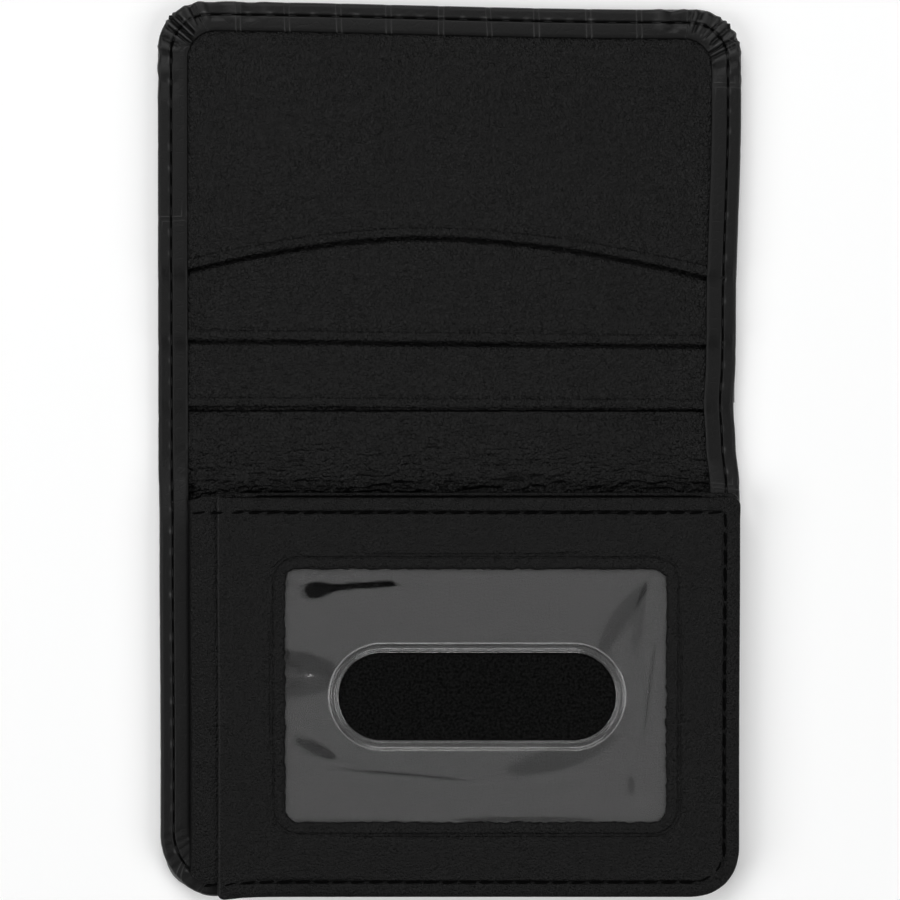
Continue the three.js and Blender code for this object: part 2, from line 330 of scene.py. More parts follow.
# -------- materials
class Nodes:
    """A material's node tree with short calls for the few nodes that it needs."""

    def __init__(self, name):
        self.material = bpy.data.materials.new(name)
        self.material.use_nodes = True
        self.tree = self.material.node_tree
        self.shader = self.tree.nodes["Principled BSDF"]

    def add(self, kind, settings=None, **inputs):
        node = self.tree.nodes.new(kind)
        for key, value in (settings or {}).items():
            setattr(node, key, value)
        for key, value in inputs.items():
            self.feed(node.inputs[key.replace("_", " ")], value)
        return node

    def feed(self, socket, value):
        if isinstance(value, bpy.types.NodeSocket):
            self.tree.links.new(value, socket)
        else:
            socket.default_value = value

    def math(self, operation, *values):
        node = self.tree.nodes.new("ShaderNodeMath")
        node.operation = operation
        for socket, value in zip(node.inputs, values):
            self.feed(socket, value)
        return node.outputs[0]

    def total(self, *terms):
        """The sum of some sockets, each times its weight."""
        parts = [self.math("MULTIPLY", socket, weight) for socket, weight in terms]
        whole = parts[0]
        for part in parts[1:]:
            whole = self.math("ADD", whole, part)
        return whole

    def mix(self, factor, low, high):
        """A number between low and high."""
        return self.math("ADD", self.math("MULTIPLY", factor, high - low), low)

    def ramp(self, factor, *stops):
        node = self.add("ShaderNodeValToRGB")
        self.feed(node.inputs["Fac"], factor)
        ramp = node.color_ramp
        while len(ramp.elements) < len(stops):
            ramp.elements.new(0.5)
        for element, (place, shade) in zip(ramp.elements, stops):
            element.position = place
            element.color = (shade, shade, shade, 1)
        return node.outputs["Color"]

    def rest(self, stretch=(1, 1, 1), turn=0.0, attribute="rest"):
        """Millimetres on the flat leather, so that the grain stays put when a piece bends."""
        source = self.add("ShaderNodeAttribute", {"attribute_name": attribute}).outputs["Vector"]
        mapping = self.add("ShaderNodeMapping", Vector=source, Scale=stretch, Rotation=(0, 0, turn))
        return mapping.outputs["Vector"]

    def noise(self, vector, cell, detail=3.0, roughness=0.5, distortion=0.0):
        node = self.add("ShaderNodeTexNoise", Vector=vector, Scale=1 / cell, Detail=detail)
        node.inputs["Roughness"].default_value = roughness
        node.inputs["Distortion"].default_value = distortion
        return node.outputs["Fac"]

    def cells(self, vector, cell, feature="F1"):
        node = self.add("ShaderNodeTexVoronoi", {"feature": feature}, Vector=vector, Scale=1 / cell)
        return node.outputs["Distance"]

    def bump(self, height, depth_mm):
        bump = self.add("ShaderNodeBump", Height=height, Distance=depth_mm * MM)
        self.tree.links.new(bump.outputs["Normal"], self.shader.inputs["Normal"])

    def finish(self, **inputs):
        for key, value in inputs.items():
            self.feed(self.shader.inputs[key.replace("_", " ")], value)
        return self.material


def colour(value):
    return (value, value, value, 1)


def grey(nodes, factor, low, high):
    """A grey that runs from low to high."""
    value = nodes.mix(factor, low, high)
    node = nodes.add("ShaderNodeCombineColor", Red=value, Green=value, Blue=value)
    return node.outputs["Color"]


def pebbles(nodes, cell):
    """Leather grain, as a height and its pores: rounded pebbles parted by fine creases."""
    pull = 0.8 * cell
    flat = nodes.rest((1, 0.78, 1), 0.9)
    drift = nodes.add("ShaderNodeTexNoise", Vector=flat, Scale=0.7 / cell, Detail=2.0).outputs["Color"]
    moved = nodes.add("ShaderNodeVectorMath", {"operation": "MULTIPLY_ADD"})
    for socket, value in zip(moved.inputs, (drift, (pull,) * 3, flat)):
        nodes.feed(socket, value)
    spot = moved.outputs["Vector"]
    creases = nodes.ramp(nodes.cells(spot, cell, "DISTANCE_TO_EDGE"), (0.0, 0.0), (0.28, 1.0))
    domes = nodes.math("SUBTRACT", 1.0, nodes.cells(spot, cell))
    pores = nodes.noise(flat, cell * 0.35, 2.0, 0.6)
    swirl = nodes.noise(nodes.rest((1, 0.45, 1), 0.9), cell * 1.4, 1.0, 0.5, 0.6)
    return nodes.total((creases, 0.30), (domes, 0.40), (swirl, 0.3), (pores, 0.5)), pores


def soft_leather(name, cell, depth, low, high, roughness, specular, scratched, painted_highlight_edge=None):
    """Black lining leather: pebble grain, dull and shiny patches, faint scratches along the hide.
    A thin line along the cut edge at the given x is painted pale, a painted highlight."""
    nodes = Nodes(name)
    height, pores = pebbles(nodes, cell)
    patches = nodes.noise(nodes.rest(), 14.0, 3.0, 0.6)
    strands = nodes.noise(nodes.rest((0.16, 1.6, 1), 0.35), 1.1, 3.0, 0.6)
    scratches = nodes.ramp(strands, (0.60, 0.0), (0.66, 1.0))
    height = nodes.total((height, 1.0), (scratches, -scratched))
    shade = nodes.total((patches, 0.5), (pores, 0.5))
    # Painted highlight: a pale line along the leaf's cut edge.
    if painted_highlight_edge is not None:
        across = nodes.add("ShaderNodeSeparateXYZ", Vector=nodes.rest()).outputs["X"]
        away = nodes.math("ABSOLUTE", nodes.math("SUBTRACT", across, painted_highlight_edge + 0.12))
        pale = nodes.ramp(away, (0.0, 1.0), (0.13, 0.8), (0.22, 0.0))
        shade = nodes.math("ADD", shade, nodes.math("MULTIPLY", pale, nodes.mix(patches, 1.5, 7.0)))
    nodes.bump(height, depth)
    rough = nodes.total((nodes.mix(patches, *roughness), 1.0), (scratches, -0.05))
    return nodes.finish(
        Base_Color=grey(nodes, shade, low, high), Roughness=rough, Specular_IOR_Level=specular
    )


CROC_WIDTH = 9.6
CROC_HEIGHT = 13.0
CROC_GROOVE = 0.85


def croc_leather():
    """Black leather pressed with a crocodile pattern: tall tiles whose edges are thin paired ridges. The
    ridges are painted lighter as highlights, and so are the glints at the stitches and on the corner pleats.
    """
    nodes = Nodes("croc_leather")
    flat = nodes.rest()
    brick = nodes.add(
        "ShaderNodeTexBrick",
        {"offset": 0.5, "offset_frequency": 2, "squash": 1.0},
        Vector=flat,
        Scale=1.0,
        Mortar_Size=CROC_GROOVE,
        Mortar_Smooth=1.0,
        Brick_Width=CROC_WIDTH,
        Row_Height=CROC_HEIGHT,
    ).outputs["Fac"]
    ridges = nodes.ramp(brick, (0.0, 0.0), (0.22, 0.25), (0.42, 1.0), (0.62, 0.15), (1.0, 0.0))
    pressed = nodes.add("ShaderNodeSeparateXYZ", Vector=flat).outputs["Z"]
    ridges = nodes.math("MULTIPLY", ridges, nodes.math("SUBTRACT", 1.0, pressed))
    fine = nodes.noise(flat, 0.5, 4.0, 0.6)
    creases = nodes.ramp(nodes.cells(flat, 1.9, "DISTANCE_TO_EDGE"), (0.0, 0.0), (0.10, 1.0))
    wear = nodes.noise(flat, 9.0, 3.0, 0.6)
    nodes.bump(nodes.total((fine, 0.25), (creases, 0.12), (ridges, 0.55)), 0.13)
    # Painted highlights: the glints at the stitch holes and on the corner pleats, read from the mesh, lighten
    # the colour.
    painted_glints = nodes.add("ShaderNodeAttribute", {"attribute_name": "wear"}).outputs["Fac"]
    # Painted highlight: the paired ridge lines are made lighter, in patches.
    painted_ridge_highlight = nodes.math("MULTIPLY", ridges, nodes.ramp(wear, (0.35, 0.45), (0.65, 1.0)))
    shade = nodes.total((painted_ridge_highlight, 1.0), (painted_glints, 1.7), (fine, 0.10))
    rough = nodes.total((nodes.mix(wear, 0.42, 0.58), 1.0), (creases, -0.03))
    return nodes.finish(
        Base_Color=grey(nodes, shade, 0.0010, 0.0350), Roughness=rough, Specular_IOR_Level=0.225
    )


def thread_material():
    """Twisted black polyester thread."""
    nodes = Nodes("black_thread")
    twist = nodes.add("ShaderNodeTexWave", {"bands_direction": "DIAGONAL"}, Vector=nodes.rest(), Scale=2.6)
    nodes.bump(twist.outputs["Fac"], 0.05)
    return nodes.finish(
        Base_Color=grey(nodes, twist.outputs["Fac"], 0.0003, 0.0018), Roughness=0.8, Specular_IOR_Level=0.04
    )


def fabric_material():
    """Matt black lining fabric with a plain weave."""
    nodes = Nodes("lining_fabric")
    flat = nodes.rest()
    warp_threads = nodes.add("ShaderNodeTexWave", {"bands_direction": "X"}, Vector=flat, Scale=2.9)
    weft_threads = nodes.add("ShaderNodeTexWave", {"bands_direction": "Y"}, Vector=flat, Scale=2.9)
    weave = nodes.math("MULTIPLY", warp_threads.outputs["Fac"], weft_threads.outputs["Fac"])
    fuzz = nodes.ramp(nodes.noise(flat, 0.5, 3.0, 0.6), (0.36, 0.0), (0.64, 1.0))
    nodes.bump(nodes.total((weave, 1.0), (fuzz, 0.9)), 0.07)
    return nodes.finish(
        Base_Color=grey(nodes, fuzz, 0.0016, 0.0096), Roughness=0.95, Specular_IOR_Level=0.05
    )


def vinyl_material():
    """Clear vinyl with a speckled milkiness, taken away in patches to paint the darker reflections of the
    film's buckles.
    """
    nodes = Nodes("clear_vinyl")
    usual_milk = 0.050
    # The haze attribute holds the film's milkiness, lowered in the buckles' patches as painted darker
    # reflection.
    haze = nodes.add("ShaderNodeAttribute", {"attribute_name": "haze"}).outputs["Fac"]
    dust = nodes.noise(nodes.rest(), 1.6, 5.0, 0.7)
    milk = nodes.math("MULTIPLY", haze, nodes.mix(dust, usual_milk * 0.9, usual_milk * 1.1))
    specks = nodes.ramp(nodes.noise(nodes.rest(), 0.42, 2.0, 0.6), (0.58, 0.0), (0.70, 1.0))
    milk = nodes.total((milk, 1.0), (specks, 0.016))
    nodes.bump(nodes.noise(nodes.rest(), 7.0, 2.0, 0.5), 0.02)
    clear = nodes.math("SUBTRACT", 1.0, milk)
    return nodes.finish(Base_Color=colour(0.86), Roughness=0.05, IOR=1.46, Transmission_Weight=clear)


def board_material():
    """Grey card."""
    nodes = Nodes("grey_card")
    spot = nodes.add("ShaderNodeTexCoord").outputs["Object"]
    fibres = nodes.noise(spot, 0.0006, 5.0, 0.7)
    nodes.bump(fibres, 0.05)
    return nodes.finish(Base_Color=grey(nodes, fibres, 0.12, 0.24), Roughness=0.9)


croc = croc_leather()
lining_leather = soft_leather(
    "lining_leather",
    cell=0.62,
    depth=0.280,
    low=0.0006,
    high=0.0034,
    roughness=(0.29, 0.39),
    specular=0.165,
    scratched=0.10,
)
leaf_leather = soft_leather(
    "leaf_leather",
    cell=0.52,
    depth=0.215,
    low=0.0008,
    high=0.0032,
    roughness=(0.31, 0.42),
    specular=0.147,
    scratched=0.02,
    painted_highlight_edge=LEAF_MOUTH,
)
thread = thread_material()
fabric = fabric_material()
vinyl = vinyl_material()
card = board_material()
for board in ("upper_board", "lower_board"):
    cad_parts[board].data.materials.clear()
    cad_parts[board].data.materials.append(card)


# -------- outer hide with its turned edge
OUTER_RADII = (11.4, 9.0, 9.2, 9.2)  # bottom left, bottom right, top right, top left
LIP_RADII = (8.0, 5.6, 5.4, 5.4)
CORNER_STEPS, STEPS_X, STEPS_Y = 64, 150, 246
NX, NY = STEPS_X + CORNER_STEPS, STEPS_Y + CORNER_STEPS  # columns along the ends and the sides
COLUMNS = 2 * (NX + NY)
EDGE_ROLL = 0.9  # how far in the rounded outer edge reaches
HIDE = 0.62  # thickness of the turned leather
FLOOR_SKIN = 0.75
PLEATS = ((0, 0.10), (NX, 0.15), (NX + NY, 0.95), (2 * NX + NY, 1.0))  # corner column, strength


def croc_space(x, y):
    """Hide coordinates with the wander of a real skin. Z says how flat the pattern is pressed."""
    wander = np.stack([layered_noise(x, y, 15, 11), layered_noise(x, y, 15, 21), 0 * x], -1)
    side = np.abs(x) - (RIGHT + 2.0)
    hide = np.stack([x + 2.1, y + 7.0, 0 * x], -1) + wander * (0.7, 1.4, 0)
    from_row = np.abs((hide[..., 1] + CROC_HEIGHT / 2) % CROC_HEIGHT - CROC_HEIGHT / 2)
    shows = np.where(x > 0, bump(y, 70, 6) + bump(y, -6, 6), bump(y, 45, 6))
    kept = np.minimum(bump(from_row, 0, 1.6) * shows * 1.3, 1)
    hide[..., 2] = smooth(side / 1.5) * (1 - kept) * smooth((TOP - 4 - np.abs(y)) / 6)
    return hide


def croc_relief(spot):
    """Depth, from 0 on a tile to 1 in a groove, of the pattern that the croc material draws."""
    row = np.floor(spot[..., 1] / CROC_HEIGHT)
    x = spot[..., 0] + np.where(row % 2 == 0, CROC_WIDTH / 2, 0)
    x = x - np.floor(x / CROC_WIDTH) * CROC_WIDTH
    y = spot[..., 1] - row * CROC_HEIGHT
    reach = np.minimum(np.minimum(x, CROC_WIDTH - x), np.minimum(y, CROC_HEIGHT - y))
    return smooth(1 - reach / (1.6 * CROC_GROOVE)) * (1 - spot[..., 2])


def pleat_field(inset):
    """How far the gathered leather sinks at each corner, for every column and inset."""
    columns = np.arange(COLUMNS)
    draw = np.random.default_rng(5)
    sink = np.zeros((len(inset), COLUMNS))
    half = CORNER_STEPS / 2 + 9
    for corner, strength in PLEATS:
        offset = (columns - corner + COLUMNS / 2) % COLUMNS - COLUMNS / 2
        places = np.linspace(-half, half, 10) + draw.uniform(-3.6, 3.6, 10)
        for place in places:
            depth = draw.uniform(0.30, 0.80) * strength * math.exp(-((place / half) ** 2) * 0.8)
            width = draw.uniform(0.9, 2.2)
            inner, outer = draw.uniform(3.2, 6.8), draw.uniform(-1.5, 0.5)
            lean = draw.uniform(-0.6, 0.6)
            reach = smooth((inset - outer) / 0.7) * smooth((inner - inset) / 0.9)
            centre = place + lean * (inset - SEAM)
            gap = offset[None] - centre[:, None]
            ridges = 0.32 * bump(np.abs(gap), 3.0 * width, width)
            sink += depth * reach[:, None] * (bump(gap, 0, width) - ridges)
    return sink


def shell_profile():
    """The turned edge, from its lower rim to the lip: inset from the outer edge, level from -1 (low)
    to 1 (top) and the angle that the leather faces, from -90 degrees (down) to 90 (up)."""
    turns = np.radians(np.linspace(-90, 90, 15))
    fine = np.arange(SEAM - 1.15, SEAM + 0.66, 0.11)
    top = np.concatenate([[EDGE_ROLL + 0.25], fine, np.linspace(fine[-1], EDGE_WIDTH - 0.12, 13)[1:]])
    inset = np.concatenate([EDGE_ROLL * (1 - np.cos(turns) ** 0.8), top])
    rise = np.sign(np.sin(turns)) * np.abs(np.sin(turns)) ** 0.8
    level = np.concatenate([rise, np.ones(len(top))])
    facing = np.concatenate([turns, np.full(len(top), math.pi / 2)])
    return inset, level, facing


def border_spots(outer, inward, inset, level, height):
    """Hide coordinates of the border, as if the turned edge were laid flat beside the wallet."""
    girth = np.concatenate([[0], np.cumsum(np.hypot(np.diff(inset), np.diff(level) * height.mean() / 2))])
    tangent = np.roll(outer, -1, 0) - np.roll(outer, 1, 0)
    normal = np.column_stack([-tangent[:, 1], tangent[:, 0]]) / np.linalg.norm(tangent, axis=1)[:, None]
    unrolled = inset[:, None] * (inward * normal).sum(1)[None] + girth[:, None] - EDGE_ROLL
    plan = outer[None] + inward[None] * inset[:, None, None] - normal[None] * unrolled[..., None]
    return croc_space(plan[..., 0], plan[..., 1])


def border_relief(x, y, inset, level, phase):
    """How far the border sinks along the seam and in the fold, and the small ridges where the thread pulls at
    its holes;
    their glint mask is also painted into the leather's colour as highlights. Phase counts the stitches along
    the seam."""
    on_top = smooth((level - 0.2) / 0.8)[:, None]
    near_seam = bump(inset, SEAM, 0.20)[:, None] * smooth((level - 0.6) / 0.4)[:, None]
    hole = bump((phase + 0.5) % 1 - 0.5, 0, 0.10)[None]
    strength = np.random.default_rng(9).uniform(0.15, 1.0, round(phase.max()) + 1) ** 1.5
    pulled = bump(phase % 1, 0.02, 0.10) + bump(phase % 1, 1.02, 0.10)
    pulled = pulled * strength[np.round(phase).astype(int)]
    glint = bump(inset, SEAM - 0.42, 0.20)[:, None] * pulled[None] * on_top
    sink = near_seam * (0.34 + 0.16 * hole) - 0.14 * glint
    sink = sink - on_top * 0.03 * bump(inset, 4.1, 1.0)[:, None]
    sink = sink + on_top * 0.10 * smooth((inset - 5.2) / 0.5)[:, None]
    sink = sink - 0.05 * layered_noise(x, y, 11, 31) * on_top
    fold_creases = bump(y, -0.5, 7.0) * (layered_noise(x * 0.25, y, 1.4, 41) ** 2)
    return sink + 0.30 * fold_creases * on_top, glint


def shell_underside(outer, inward, edge, height):
    """Rows from the lip round under the turned leather and back to the floor of the shell."""
    rows = []
    for turn in np.radians((35, 70, 105, 145, 180)):
        reach = HIDE / 2 * math.sin(turn)
        drop = HIDE / 2 * (1 - math.cos(turn))
        rows.append(np.concatenate([edge[:, :2] + inward * reach, edge[:, 2:] - drop], 1))
    under_top = ((4.4, 1, -HIDE), (2.9, 1, -0.95), (1.9, 1, -1.05))
    down_wall = ((0.95, 0.5, 0), (1.9, 0, FLOOR_SKIN))
    for inset, share, lift in under_top + down_wall:
        z = np.full(COLUMNS, lift) + height * share
        rows.append(np.concatenate([outer + inward * inset, z[:, None]], 1))
    return np.array(rows)


def shell_outside(ring):
    """The embossed outside within the shell's first ring: its points and their hide coordinates."""
    x, y = coons(ring, NX, NY)[1:-1, 1:-1].reshape(-1, 2).T
    spots = croc_space(x, y)
    reach = -box_distance(x, y, WALLET_BOX, 8.0)
    z = 0.22 * croc_relief(spots) + 0.30 * bump(reach, SEAM, 0.42)
    z = np.maximum(z - 0.06 * layered_noise(x, y, 9, 51) - 0.03, 0)
    return np.column_stack([x, y, z]), spots


def shell_faces(row_count):
    """Rings of the border, the outside within the first ring and the flat floor within the last."""
    rings = grid_faces(row_count, COLUMNS, closed=True)
    index = np.zeros((NY + 1, NX + 1), int)
    index[0] = np.arange(NX + 1)
    index[:, NX] = NX + np.arange(NY + 1)
    index[NY] = 2 * NX + NY - np.arange(NX + 1)
    index[:, 0] = (COLUMNS - np.arange(NY + 1)) % COLUMNS
    inner = np.arange((NY - 1) * (NX - 1)).reshape(NY - 1, NX - 1)
    index[1:-1, 1:-1] = row_count * COLUMNS + inner
    outside = np.stack([index[:-1, :-1], index[1:, :-1], index[1:, 1:], index[:-1, 1:]], -1).reshape(-1, 4)
    last = (row_count - 1) * COLUMNS
    east = last + NX + np.arange(NY + 1)
    west = last + (COLUMNS - np.arange(NY + 1)) % COLUMNS
    bands = np.stack([west[:-1], east[:-1], east[1:], west[1:]], -1)
    ends = [(last + first + np.arange(NX + 1)).tolist() for first in (0, NX + NY)]
    return rings.tolist() + outside.tolist() + bands.tolist() + ends


def build_shell():
    """The hide from end to end, and the line along the top of its seam with its count of stitches."""
    outer = rounded_loop(WALLET_BOX, OUTER_RADII, CORNER_STEPS, STEPS_X, STEPS_Y)
    lip = rounded_loop(grow(WALLET_BOX, -EDGE_WIDTH), LIP_RADII, CORNER_STEPS, STEPS_X, STEPS_Y)
    inward = (lip - outer) / EDGE_WIDTH
    height = border_height(outer[:, 1])
    seam = outer + inward * SEAM
    step = np.linalg.norm(np.roll(seam, -1, 0) - seam, axis=1)
    count = round(step.sum() / BORDER_PITCH)
    phase = np.concatenate([[0], np.cumsum(step)[:-1]]) / step.sum() * count

    inset, level, facing = shell_profile()
    spots = border_spots(outer, inward, inset, level, height)
    plan_x, plan_y = (outer[None] + inward[None] * inset[:, None, None]).transpose(2, 0, 1)
    relief, glint = border_relief(plan_x, plan_y, inset, level, phase)
    pleats = pleat_field(np.where(level > 0, inset, 9.0))
    sink = relief + 0.05 * croc_relief(spots) + pleats
    z = height[None] / 2 * (1 + level[:, None]) - sink * np.sin(facing)[:, None] * (level > -0.5)[:, None]
    push = sink * np.cos(facing)[:, None]
    plan = outer[None] + inward[None] * (inset[:, None] + push)[..., None]
    skin = raised(plan, z)

    under = shell_underside(outer, inward, skin[-1], height)
    rows = np.concatenate([skin, under])
    outside, outside_spots = shell_outside(rows[0, :, :2])
    verts = np.concatenate([rows.reshape(-1, 3), outside])
    rest = np.concatenate([spots, np.repeat(spots[-1:], len(under), 0)])
    rest = np.concatenate([rest.reshape(-1, 3), outside_spots])
    # Painted highlights: the stitch glints and the pleat crests are made lighter in the leather's colour.
    wear = np.zeros(len(verts))
    wear[: glint.size] = np.clip(glint + 1.6 * np.maximum(-pleats, 0), 0, 1).ravel()
    wear = np.repeat(wear[:, None], 3, 1)
    shell = make("shell_leather", warp(verts), shell_faces(len(rows)), croc, rest=rest, wear=wear)
    face_outwards(shell)
    seam_row = int(np.argmin(np.abs(inset - SEAM) + (level < 1) * 9))
    return shell, np.column_stack([seam, skin[seam_row, :, 2]]), count


# -------- stitches
def stitch_mesh(path, count, length, radius, rise, sway, seed, closed, side=1):
    """Separate short threads along a path: each one lies on the leather and dips into its holes."""
    ring = np.concatenate([path, path[:1]]) if closed else path
    steps = np.linalg.norm(np.diff(ring[:, :2], axis=0), axis=1)
    arc = np.concatenate([[0], np.cumsum(steps)])
    draw = np.random.default_rng(seed)
    u = np.linspace(-1, 1, 9)
    sides = 8
    around = 2 * math.pi * np.arange(sides) / sides
    verts, faces = [], []
    for k in range(count):
        middle = (k + 0.5) / count * arc[-1]
        place = np.clip(middle + u * length / 2, 0, arc[-1] - 1e-6)
        centre = np.stack([np.interp(place, arc, ring[:, axis]) for axis in range(3)], 1)
        forward = centre[-1, :2] - centre[0, :2]
        forward /= np.linalg.norm(forward)
        across = np.array([-forward[1], forward[0]])
        lean = sway * draw.uniform(0.5, 1.4) + draw.uniform(-0.05, 0.05)
        centre[:, :2] += across * (lean * u)[:, None]
        centre[:, 2] = centre[4, 2] + side * (rise - (rise + radius * 1.6) * np.abs(u) ** 3.2)
        size = radius * np.sqrt(1 - 0.75 * np.abs(u) ** 5)
        first = k * len(u) * sides
        for c, r in zip(centre, size):
            verts.append(c + np.column_stack([np.cos(around)[:, None] * across, np.sin(around)]) * r)
        faces += grid_faces(len(u), sides, closed=True, first=first).tolist()
        faces.append((first + np.arange(sides)).tolist())
        faces.append((first + (len(u) - 1) * sides + np.arange(sides)).tolist())
    return np.concatenate(verts), faces


def join_meshes(parts):
    verts, faces, start = [], [], 0
    for part_verts, part_faces in parts:
        verts.append(part_verts)
        faces += [[start + i for i in face] for face in part_faces]
        start += len(part_verts)
    return np.concatenate(verts), faces


# -------- flat leather sheets
def lip_front(x):
    """The arched lip of the front card pocket."""
    crest_x, crest_y = FRONT_CREST
    run = np.where(x < crest_x, 45.0, 55.4)
    drop = np.where(x < crest_x, 6.4, 7.7)
    return crest_y - drop * (np.abs(x - crest_x) / run) ** 1.75


def straight_lip(y, slope=0.0, wave=0.0, seed=0):
    """A nearly straight lip, as a function of x."""
    return lambda x: y - slope * x + wave * noise(x, 0 * x, 30, seed)


def pocket_panel(name, lip, far_y, top_z, thickness, seed, over=None, cell=0.48):
    """A card pocket: the edge that shows is turned under, so it is a little thicker and has a crease.
    The panel dips just past the lip of the pocket that lies over it."""
    half, turned = 53.6, 1.75
    x = np.linspace(-half, half, int(2 * half / cell))
    edge = lip(x)
    span = far_y - edge.mean()
    near = np.arange(0, 3.2, 0.2)
    far = np.linspace(3.2, abs(span), int((abs(span) - 3.2) / cell))
    reach = np.concatenate([near, far])
    d = reach[:, None] + 0 * x[None]
    y = edge[None] + (far_y - edge)[None] * reach[:, None] / abs(span)
    xx = x[None] + 0 * y
    z = top_z + 0.22 * (1 - smooth((d - turned + 0.35) / 0.5)) - 0.10 * bump(d, turned + 0.2, 0.22)
    if over:
        z = z - 0.78 * smooth((y - over(xx) + 0.95) / 0.45)
    z = z - 0.10 * smooth((0.45 - d) / 0.45) + 0.09 * layered_noise(xx, y, 17, seed) * smooth(d / 4)
    z = z + 0.030 * layered_noise(xx, y, 2.4, seed + 3) + 0.05 * noise(xx, 0 * y, 9, seed + 5) * bump(d, 0, 3)
    grid = np.stack([xx, y + 0.06 * noise(xx, 0 * y, 2.2, seed + 6) * bump(d, 0, 1), z], -1)
    if far_y < edge.mean():
        grid = grid[:, ::-1]
    return sheet_piece(name, grid, thickness, lining_leather)


def rounded_sheet(name, box, radii, z, thickness, material, cell, relief, seed, curl=0.0):
    """A sheet with rounded corners, gridded all over. Away from the mouth its edge can curl up."""
    corner_steps = 12
    steps_x = int((box[1] - box[0]) / cell)
    steps_y = int((box[3] - box[2]) / cell)
    loop = rounded_loop(box, radii, corner_steps, steps_x, steps_y)
    plan = coons(loop, steps_x + corner_steps, steps_y + corner_steps)
    height = z + relief * layered_noise(plan[..., 0], plan[..., 1], 11, seed)
    edge = -box_distance(plan[..., 0], plan[..., 1], box, radii[1])
    height = height + curl * smooth((1.0 - edge) / 1.0) * smooth((plan[..., 0] - LEAF_MOUTH - 2) / 4)
    return sheet_piece(name, raised(plan, height), thickness, material)


def build_lining():
    """One sheet from end to end. It is free between the pockets and the leaf, and wrinkles there."""
    fine = np.arange(-13.0, 12.0, 0.16)
    y = np.concatenate([np.arange(-78, -13.0, 1.6), fine, np.arange(12.0, 79, 1.6)])
    x = np.linspace(-53.4, 53.4, 300)
    xx, yy = np.meshgrid(x, y)
    free = smooth((yy + 14) / 4) * smooth((13 - yy) / 5)
    drift = yy + 0.9 * layered_noise(xx, yy, 12, 61) + 0.35 * noise(xx, yy, 3.5, 62)
    crowd = 0.50 + 0.30 * smooth((2 - yy) / 9) + 0.75 * bump(yy, -7.6, 2.4)
    waves = layered_noise(xx * 0.30, drift * 1.15, 1.25, 63, 3)
    creases = -np.abs(waves) ** 0.7
    deep = layered_noise(xx * 0.16, drift, 2.3, 67, 2)
    z = LINING_Z + free * (0.22 + 0.66 * crowd * creases + 0.26 * crowd * deep)
    z = z - 0.70 * smooth((yy - REAR_LIP_Y + 1.0) / 0.45)
    z = z + free * (0.02 * layered_noise(xx, yy, 0.9, 70) + 0.35 * bump(yy, 0.5, 5.0))
    return sheet_piece("inner_lining", np.stack([xx, yy, z], -1), 0.4, lining_leather)


# -------- the window leaf
def ring_loops(outer_box, outer_radii, inner_box, inner_radii, corner_steps, steps_x, steps_y):
    """Two loops that match point for point, one inside the other."""
    return (
        rounded_loop(outer_box, outer_radii, corner_steps, steps_x, steps_y),
        rounded_loop(inner_box, inner_radii, corner_steps, steps_x, steps_y),
    )


def build_leaf_front():
    """The leather frame: two pressed lines and a ragged cut edge round the window, a groove for the seam."""
    leaf_radii, window_radii = (1.2, LEAF_CORNER, 1.4, 1.2), (3.0, 3.0, 2.7, 2.7)
    outer, hole = ring_loops(LEAF_BOX, leaf_radii, WINDOW, window_radii, 18, 190, 134)
    width = np.linalg.norm(outer - hole, axis=1)[None]
    away = (outer - hole) / width[0][:, None]
    rim_rows = np.concatenate([np.arange(0, 1.6, 0.22), np.arange(1.6, 3.2, 0.12)])[:, None]
    edge_rows = np.concatenate([np.arange(3.6, 1.9, -0.16), [1.4, 0.9, 0.55, 0.25, 0]])[:, None]
    between = np.linspace(0, 1, 18)[1:-1, None]
    middle_rows = rim_rows[-1] * (1 - between) + (width - edge_rows[0]) * between
    from_hole = np.concatenate([rim_rows + 0 * width, middle_rows, width - edge_rows])[::-1]
    plan = hole[None] + away[None] * from_hole[..., None]
    x, y = plan[..., 0], plan[..., 1]
    rim = box_distance(x, y, WINDOW, WINDOW_CORNER)
    edge = -box_distance(x, y, LEAF_BOX, 4.0)
    z = LEAF_FRONT_Z - 0.02 - 0.16 * smooth((0.9 - edge) / 0.9) ** 2
    z = z - 0.20 * bump(rim, 2.05, 0.15) - 0.17 * bump(rim, 2.65, 0.14)
    z = z - 0.10 * smooth((0.5 - rim) / 0.5)
    z = z - 0.42 * bump(edge, SEAM - 0.05, 0.25) * smooth((x - LEAF_MOUTH - SEAM - 0.4) / 0.5)
    z = z + 0.06 * layered_noise(x, y, 15, 81) + 0.018 * layered_noise(x, y, 2.0, 84)
    ragged = bump(rim, 0, 0.40) * 0.34 * layered_noise(x, y, 0.66, 88, 2)
    grid = raised(plan + away[None] * ragged[..., None], z)
    return sheet_piece("leaf_front_leather", grid, LEAF_THICK, leaf_leather, closed=True)


